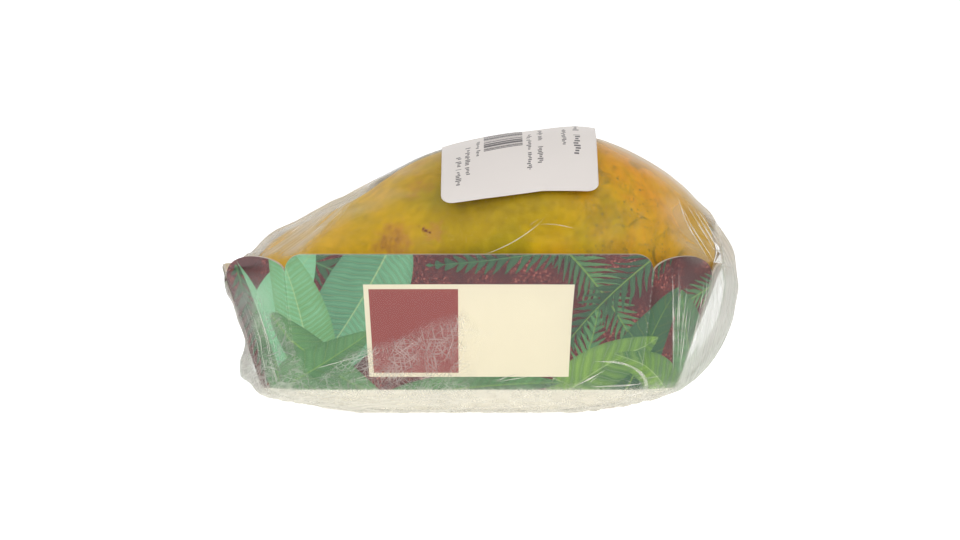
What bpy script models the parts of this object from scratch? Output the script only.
"""A whole ripe papaya lying in a flared card tray, held in clear stretch film with a paper label.

Four separate pieces, each one object: the fruit, the folded card tray, the film and the label.
Millimetre values are turned into metres by MM. The origin is on the surface that the pack
stands on, under its middle, with +X towards the fruit's blossom end and -Y towards the front.
"""

import math

import bmesh
import bpy
from mathutils import Matrix, Vector
from mathutils.bvhtree import BVHTree

MM = 0.001

# The fruit: its two ends, then its centre line's height and its fullness along X
FRUIT_LEFT = -73.5
FRUIT_RIGHT = 74.8
FRUIT_CENTRE_LINE = ((-73, 40.8), (-45, 40.9), (-20, 43.4), (5, 44.9), (30, 45.2), (74, 50.5))
FRUIT_FULLNESS = (
    (-73, 31.0),
    (-51, 29.8),
    (-38, 31.8),
    (-26, 36.0),
    (-13, 38.7),
    (0, 40.5),
    (13, 42.8),
    (26, 44.9),
    (38, 45.6),
    (51, 43.2),
    (66, 40.4),
    (74, 40.4),
)
FRUIT_WIDTH_SHARE = 0.985  # width over height
FRUIT_LOBES = 5
FRUIT_LOBE_DEPTH = 0.012
FRUIT_RINGS = 34
FRUIT_SPOKES = 50
STEM_SCAR_RADIUS = 5.5
STEM_SCAR_DEPTH = 1.6
BLOSSOM_NUB_RADIUS = 5.0
BLOSSOM_NUB_HEIGHT = 0.7

# The tray, measured over the outside of the card
TRAY_CENTRE_X = -3.4
CARD = 0.9
FOLD_HEIGHT = 8.2  # where the floor folds up into the walls
RIM_HEIGHT = 49.8
FLOOR_LOW = 0.9  # the floor sags to here under the fruit
FLOOR_FLAT_SHARE = 0.45  # share of the floor that lies flat
FLOOR_RINGS = 5
BASE_HALF_LENGTH = 52.3  # of the long panel
BASE_HALF_WIDTH = 36.5
BASE_CHAMFER = 12.2
RIM_HALF_LENGTH = 56.6
RIM_HALF_WIDTH = 47.5
RIM_CHAMFER = 21.2
RIM_SHIFT = 0.1
SIDE_BOWS = (3.6, 1.0)  # the fruit's ends push the rims of the right and left panels out
SIDE_DROP = 3.2  # the rim of the short panels below that of the long ones
SIDE_STEPS = 6  # spans of a short panel's rim
NOTCH_DROP = 5.8  # at the ends of the long panels
CORNER_DROP = 8.4  # at the ends of the short panels
NOTCH_SHOULDER = 6.0  # width of the quarter curve from the straight rim into a notch
PETAL_DROP = 0.6  # the crown of a corner panel below the straight rim
PETAL_STEPS = 10

# The film: drawn tight over card and fruit, with a loose bulge at the right and an ear at the left
FILM_STAND_OFF = 1.1  # outer face over the card and fruit
FILM = 0.5
FILM_RINGS = 24
FILM_SPOKES = 32
FILM_POINT_SPACING = 3.0
FRUIT_CORE = (-40.0, 30.0)  # the film stands off square to the fruit from this stretch of its axis
BULGE = ((73.0, 58.0), (78.5, 49.5), (80.7, 39.5), (79.0, 29.5), (71.5, 16.0), (63.0, 7.0))
BULGE_HALF_WIDTH = (9.0, 18.0, 24.0, 26.0, 26.0, 25.0)
EAR = ((-81.6, 42.0), (-76.5, 12.6), (-68.0, 5.4))
EAR_HALF_WIDTH = (26.0, 22.0, 24.0)
VENTS = 3
VENT_SPACING = 14.0
VENT_Y = 6.0
VENT_RADIUS = 1.5
VENT_SIDES = 12

# The paper label over the top of the film
LABEL_LEFT = -12.0
LABEL_RIGHT = 36.5
LABEL_FRONT = math.radians(-61)  # from straight up, towards the front, at its left edge
LABEL_BACK = math.radians(34)
LABEL_RISE = math.radians(4.5)  # by which its right edge ends higher on the fatter fruit
LABEL = 0.35
LABEL_GAP = 0.5
LABEL_CORNER = 4.0
LABEL_AXIS_HEIGHT = 44.0  # of the line along X that the label is wrapped round
LABEL_REACH = 45.0  # from that line to the paper
LABEL_LIFT = 1.6  # the right edge stands off the falling shoulder
LABEL_STEPS_X = 14
LABEL_STEPS_ROUND = 18

SKIN_COLOUR = (0.52, 0.36, 0.03, 1)
CARD_COLOUR = (0.06, 0.21, 0.09, 1)
FILM_COLOUR = (0.86, 0.87, 0.86, 0.3)
PAPER_COLOUR = (0.80, 0.78, 0.76, 1)


def clear_scene():
    """Removes every object, so that the file can be run again."""
    for obj in list(bpy.data.objects):
        bpy.data.objects.remove(obj)


def plain_material(name, colour, roughness):
    """A Principled material of one colour."""
    material = bpy.data.materials.new(name)
    material.use_nodes = True
    shader = material.node_tree.nodes["Principled BSDF"]
    shader.inputs["Base Color"].default_value = colour
    shader.inputs["Roughness"].default_value = roughness
    shader.inputs["Alpha"].default_value = colour[3]
    return material


def add_object(name, bm, material, collection):
    """Turns a bmesh in millimetres into a smooth-shaded object in metres."""
    bmesh.ops.scale(bm, vec=(MM, MM, MM), verts=bm.verts)
    mesh = bpy.data.meshes.new(name)
    bm.to_mesh(mesh)
    bm.free()
    mesh.materials.append(material)
    mesh.shade_smooth()
    mesh.set_sharp_from_angle(angle=math.radians(40))
    obj = bpy.data.objects.new(name, mesh)
    collection.objects.link(obj)
    return obj


def smooth_step(value):
    """0 below 0, 1 above 1, and an even slope between."""
    value = min(max(value, 0.0), 1.0)
    return value * value * (3 - 2 * value)


def along(points, x):
    """Height at x of a smooth curve through the points, with level ends (Catmull-Rom)."""
    x = min(max(x, points[0][0]), points[-1][0])
    i = max(k for k in range(len(points) - 1) if points[k][0] <= x)
    (x0, y0), (x1, y1) = points[i], points[i + 1]

    def slope(k):
        if k in (0, len(points) - 1):
            return 0.0
        before, after = points[k - 1], points[k + 1]
        return (after[1] - before[1]) / (after[0] - before[0])

    span = x1 - x0
    t = (x - x0) / span
    return (
        (2 * t**3 - 3 * t**2 + 1) * y0
        + (t**3 - 2 * t**2 + t) * span * slope(i)
        + (3 * t**2 - 2 * t**3) * y1
        + (t**3 - t**2) * span * slope(i + 1)
    )


def fruit_point(turn, spoke):
    """A point of the skin. turn runs from 0 at the stem to pi at the blossom, spoke round the axis."""
    half = (FRUIT_RIGHT - FRUIT_LEFT) / 2
    x = (FRUIT_RIGHT + FRUIT_LEFT) / 2 - half * math.cos(turn)
    fullness = along(FRUIT_FULLNESS, x)
    lobe = 1 + FRUIT_LOBE_DEPTH * math.sin(turn) * math.cos(FRUIT_LOBES * spoke + 0.6)
    radius = fullness * math.sin(turn) * lobe
    if turn < math.pi / 2:
        x += STEM_SCAR_DEPTH * (1 - smooth_step(radius / STEM_SCAR_RADIUS))
    else:
        x += BLOSSOM_NUB_HEIGHT * (1 - smooth_step(radius / BLOSSOM_NUB_RADIUS))
    y = radius * FRUIT_WIDTH_SHARE * math.sin(spoke)
    return Vector((x, y, along(FRUIT_CENTRE_LINE, x) + radius * math.cos(spoke)))


def lay_round(bm, rings, spokes, place):
    """Moves the vertices of a new UV sphere to place(turn, spoke), with its poles at the X ends."""
    bmesh.ops.create_uvsphere(bm, u_segments=spokes, v_segments=rings, radius=1)
    for vert in bm.verts:
        turn = math.acos(min(max(-vert.co.z, -1.0), 1.0))
        vert.co = place(turn, math.atan2(vert.co.y, vert.co.x))
    bm.normal_update()
    bmesh.ops.recalc_face_normals(bm, faces=bm.faces)
    return bm


def make_papaya(collection):
    """The fruit: one solid, pear shaped, with a stem scar and a blossom nub."""
    bm = lay_round(bmesh.new(), FRUIT_RINGS, FRUIT_SPOKES, fruit_point)
    return add_object("papaya", bm, plain_material("skin", SKIN_COLOUR, 0.45), collection)


def quarter_round(share):
    """Fall of a quarter circle: 0 at share 0, 1 at share 1, level at first and steep at last."""
    return 1 - math.sqrt(max(1 - share * share, 0.0))


def panel_rim(length, end_drop, drop, spans):
    """(share of the length, drop) along a panel: straight, with a quarter curve at each end."""
    end = []
    for k in (1.0, 0.97, 0.88, 0.72, 0.5, 0.25, 0.0):
        end.append((NOTCH_SHOULDER * (1 - k) / length, drop + (end_drop - drop) * quarter_round(k)))
    first = end[-1][0]
    straight = [(first + (1 - 2 * first) * k / spans, drop) for k in range(1, spans)]
    return end + straight + [(1 - share, low) for share, low in reversed(end)]


def petal_rim(first_drop, last_drop):
    """(share of the length, drop) along a corner panel, whose top is one round petal."""
    rim = []
    for k in range(PETAL_STEPS + 1):
        share = (1 - math.cos(math.pi * k / PETAL_STEPS)) / 2
        end_drop = first_drop if share < 0.5 else last_drop
        fall = (end_drop - PETAL_DROP) * quarter_round(abs(2 * share - 1))
        rim.append((share, PETAL_DROP + fall))
    return rim


def octagon(half_length, half_width, chamfer, z):
    """Eight corners, counter-clockwise from above, the first at the front panel's left end."""
    outer_x = half_length + chamfer
    inner_y = half_width - chamfer
    corners = []
    for turn in (-1, 1):
        corners += [
            (turn * half_length, turn * half_width),
            (-turn * half_length, turn * half_width),
            (-turn * outer_x, turn * inner_y),
            (-turn * outer_x, -turn * inner_y),
        ]
    return [Vector((TRAY_CENTRE_X + x, y, z)) for x, y in corners]


def side_bow(panel, share):
    """How far a rim point is pushed out along X: only the two short panels bow."""
    swell = 1 - (2 * share - 1) ** 2
    if panel == 2:
        return SIDE_BOWS[0] * swell
    if panel == 6:
        return -SIDE_BOWS[1] * swell
    return 0.0


def tray_panels():
    """For each of the eight walls, its (fold point, rim point) pairs on the outside of the card."""
    base = octagon(BASE_HALF_LENGTH, BASE_HALF_WIDTH, BASE_CHAMFER, FOLD_HEIGHT)
    rim = octagon(RIM_HALF_LENGTH, RIM_HALF_WIDTH, RIM_CHAMFER, RIM_HEIGHT)
    for corner in rim:
        corner.x += RIM_SHIFT
    panels = []
    for i in range(8):
        j = (i + 1) % 8
        if i in (0, 4):
            steps = panel_rim((rim[j] - rim[i]).length, NOTCH_DROP, 0.0, 1)
        elif i in (2, 6):
            steps = panel_rim((rim[j] - rim[i]).length, CORNER_DROP, SIDE_DROP, SIDE_STEPS)
        elif i in (1, 5):
            steps = petal_rim(NOTCH_DROP, CORNER_DROP)
        else:
            steps = petal_rim(CORNER_DROP, NOTCH_DROP)
        panel = []
        for share, drop in steps[:-1]:
            low = base[i].lerp(base[j], share)
            high = rim[i].lerp(rim[j], share)
            top = low.lerp(high, 1 - drop / (RIM_HEIGHT - FOLD_HEIGHT))
            top.x += side_bow(i, share)
            panel.append((low, top))
        panels.append(panel)
    return panels


def floor_height(share):
    """Height of the sagging floor, by the share of the way from its middle to the fold."""
    rise = (share - FLOOR_FLAT_SHARE) / (1 - FLOOR_FLAT_SHARE)
    return FLOOR_LOW + (FOLD_HEIGHT - FLOOR_LOW) * max(rise, 0.0) ** 1.6


def floor_shares():
    """Shares at which the floor has a ring, from its flat middle out to the fold."""
    step = (1 - FLOOR_FLAT_SHARE) / FLOOR_RINGS
    return [FLOOR_FLAT_SHARE + step * k for k in range(FLOOR_RINGS + 1)]


def floor_ring(fold, share):
    """The fold line drawn in towards the middle of the floor and let down to its height there."""
    ring = []
    for low in fold:
        x = TRAY_CENTRE_X + (low.x - TRAY_CENTRE_X) * share
        ring.append(Vector((x, low.y * share, floor_height(share))))
    return ring


def make_tray(collection):
    """The folded card tray: a sagging floor and flared walls with a notched, scalloped rim."""
    bm = bmesh.new()
    outline = [pair for panel in tray_panels() for pair in panel]
    loops = [floor_ring([low for low, _ in outline], share) for share in floor_shares()]
    loops.append([top for _, top in outline])
    rings = [[bm.verts.new(point) for point in loop] for loop in loops]
    bm.faces.new(list(reversed(rings[0])))
    for inner, outer in zip(rings, rings[1:]):
        for i in range(len(outline)):
            j = (i + 1) % len(outline)
            bm.faces.new((inner[i], inner[j], outer[j], outer[i]))
    tray = add_object("tray", bm, plain_material("printed_card", CARD_COLOUR, 0.35), collection)
    thicken(tray, CARD)
    return tray


def thicken(obj, thickness):
    """Gives an open surface its thickness, on the inner side."""
    shell = obj.modifiers.new("thickness", "SOLIDIFY")
    shell.thickness = thickness * MM
    shell.offset = -1
    shell.use_even_offset = True


def fruit_support():
    """Points that the fruit holds the film out at."""
    points = []
    for ring in range(1, FILM_RINGS):
        for spoke in range(FILM_SPOKES):
            point = fruit_point(math.pi * ring / FILM_RINGS, 2 * math.pi * spoke / FILM_SPOKES)
            core_x = min(max(point.x, FRUIT_CORE[0]), FRUIT_CORE[1])
            core = Vector((core_x, 0, along(FRUIT_CENTRE_LINE, core_x)))
            points.append(point + (point - core).normalized() * FILM_STAND_OFF)
    return points


def tray_support():
    """Points that the tray's rim, fold and floor hold the film out at."""
    panels = tray_panels()
    notches = [panel[0][1] for panel in panels]
    square = []
    for i in range(8):
        run = notches[(i + 1) % 8] - notches[i]
        square.append(Vector((run.y, -run.x, 0)).normalized())
    outward = [(square[i - 1] + square[i]) / (1 + square[i - 1].dot(square[i])) for i in range(8)]
    up = Vector((0, 0, 1))
    rim = [point + (out + up) * FILM_STAND_OFF for point, out in zip(notches, outward)]
    for panel, out in zip(panels, square):
        for _, top in panel:
            point = top + (out + up) * FILM_STAND_OFF
            if all((point - other).length > FILM_POINT_SPACING for other in rim):
                rim.append(point)
    corners = octagon(BASE_HALF_LENGTH, BASE_HALF_WIDTH, BASE_CHAMFER, 0)
    floor = []
    for share in floor_shares():
        ring = floor_ring(corners, share)
        floor += [point + out * FILM_STAND_OFF - up * FLOOR_LOW for point, out in zip(ring, outward)]
    return rim + floor


def loose_film(points, half_widths):
    """Points of a fold of film that stands clear, given along its middle with its half widths."""
    both_sides = []
    for (x, z), half_width in zip(points, half_widths):
        both_sides += [Vector((x, -half_width, z)), Vector((x, half_width, z))]
    return both_sides


def film_outside():
    """The closed convex shape of the film's outer face."""
    bm = bmesh.new()
    points = fruit_support() + tray_support()
    points += loose_film(BULGE, BULGE_HALF_WIDTH) + loose_film(EAR, EAR_HALF_WIDTH)
    for point in points:
        bm.verts.new(point)
    made = bmesh.ops.convex_hull(bm, input=bm.verts)
    spare = {v for v in made["geom_interior"] if isinstance(v, bmesh.types.BMVert)}
    spare |= {v for v in made["geom_unused"] if isinstance(v, bmesh.types.BMVert)}
    bmesh.ops.delete(bm, geom=list(spare))
    bm.normal_update()
    bmesh.ops.recalc_face_normals(bm, faces=bm.faces)
    return bm


def make_vents(collection):
    """The cutter for the film's vent holes, one row under the pack, as one object."""
    bm = bmesh.new()
    for k in range(VENTS):
        place = Matrix.Translation((TRAY_CENTRE_X + VENT_SPACING * (k - 1), VENT_Y, 0))
        bmesh.ops.create_cone(
            bm,
            cap_ends=True,
            segments=VENT_SIDES,
            radius1=VENT_RADIUS,
            radius2=VENT_RADIUS,
            depth=4 * FILM,
            matrix=place,
        )
    vents = add_object("vents", bm, plain_material("guide", (1, 0, 0, 1), 0.5), collection)
    vents.hide_render = True
    vents.display_type = "WIRE"
    return vents


def make_film(bm, collection, cutters):
    """The stretch film: a thin skin with a row of vent holes under the pack."""
    film = add_object("film", bm, plain_material("film", FILM_COLOUR, 0.2), collection)
    thicken(film, FILM)
    cut = film.modifiers.new("vents", "BOOLEAN")
    cut.operation = "DIFFERENCE"
    cut.object = make_vents(cutters)
    return film


def label_point(tree, share_x, share_round, height):
    """A point of the label, height above the film. Both shares run from 0 to 1."""
    x = LABEL_LEFT + (LABEL_RIGHT - LABEL_LEFT) * share_x
    front = LABEL_FRONT + LABEL_RISE * share_x
    angle = front + (LABEL_BACK - front) * share_round
    out = Vector((0, math.sin(angle), math.cos(angle)))
    hit, normal = tree.ray_cast(Vector((x, 0, LABEL_AXIS_HEIGHT)), out)[:2]
    if normal.dot(out) < 0:
        normal = -normal
    lift = LABEL_LIFT * smooth_step((share_x - 0.55) / 0.45)
    return hit + out * (LABEL_GAP + height + lift)


def make_label(collection, tree):
    """The paper label: a rounded rectangle wrapped over the top of the film."""
    bm = bmesh.new()
    bmesh.ops.create_grid(bm, x_segments=LABEL_STEPS_X, y_segments=LABEL_STEPS_ROUND, size=0.5)
    width = LABEL_RIGHT - LABEL_LEFT
    depth = (LABEL_BACK - LABEL_FRONT) * LABEL_REACH
    for vert in bm.verts:
        x, y = rounded(vert.co.x * width, vert.co.y * depth, width / 2, depth / 2)
        vert.co = (x / width + 0.5, y / depth + 0.5, 0)
    lower = list(bm.verts)
    faces = list(bm.faces)
    edges = [edge for edge in bm.edges if len(edge.link_faces) == 1]
    upper = {v: bm.verts.new(label_point(tree, v.co.x, v.co.y, LABEL)) for v in lower}
    for vert in lower:
        vert.co = label_point(tree, vert.co.x, vert.co.y, 0.0)
    for face in faces:
        bm.faces.new([upper[v] for v in face.verts])
        face.normal_flip()
    for edge in edges:
        a, b = edge.verts
        bm.faces.new((a, b, upper[b], upper[a]))
    bmesh.ops.recalc_face_normals(bm, faces=bm.faces)
    return add_object("label", bm, plain_material("paper", PAPER_COLOUR, 0.6), collection)


def rounded(x, y, half_x, half_y):
    """Pulls a point of a rectangle in to round its corners by LABEL_CORNER."""
    over_x = abs(x) - (half_x - LABEL_CORNER)
    over_y = abs(y) - (half_y - LABEL_CORNER)
    if over_x <= 0 or over_y <= 0:
        return x, y
    scale = max(over_x, over_y) / math.hypot(over_x, over_y)
    new_x = half_x - LABEL_CORNER + over_x * scale
    new_y = half_y - LABEL_CORNER + over_y * scale
    return math.copysign(new_x, x), math.copysign(new_y, y)


def main():
    """Builds the four pieces in a collection of their own."""
    clear_scene()
    collection = bpy.data.collections.new("packed_papaya")
    cutters = bpy.data.collections.new("cutters")
    for group in (collection, cutters):
        bpy.context.scene.collection.children.link(group)
    make_papaya(collection)
    make_tray(collection)
    outside = film_outside()
    tree = BVHTree.FromBMesh(outside)
    make_film(outside, collection, cutters)
    make_label(collection, tree)


main()
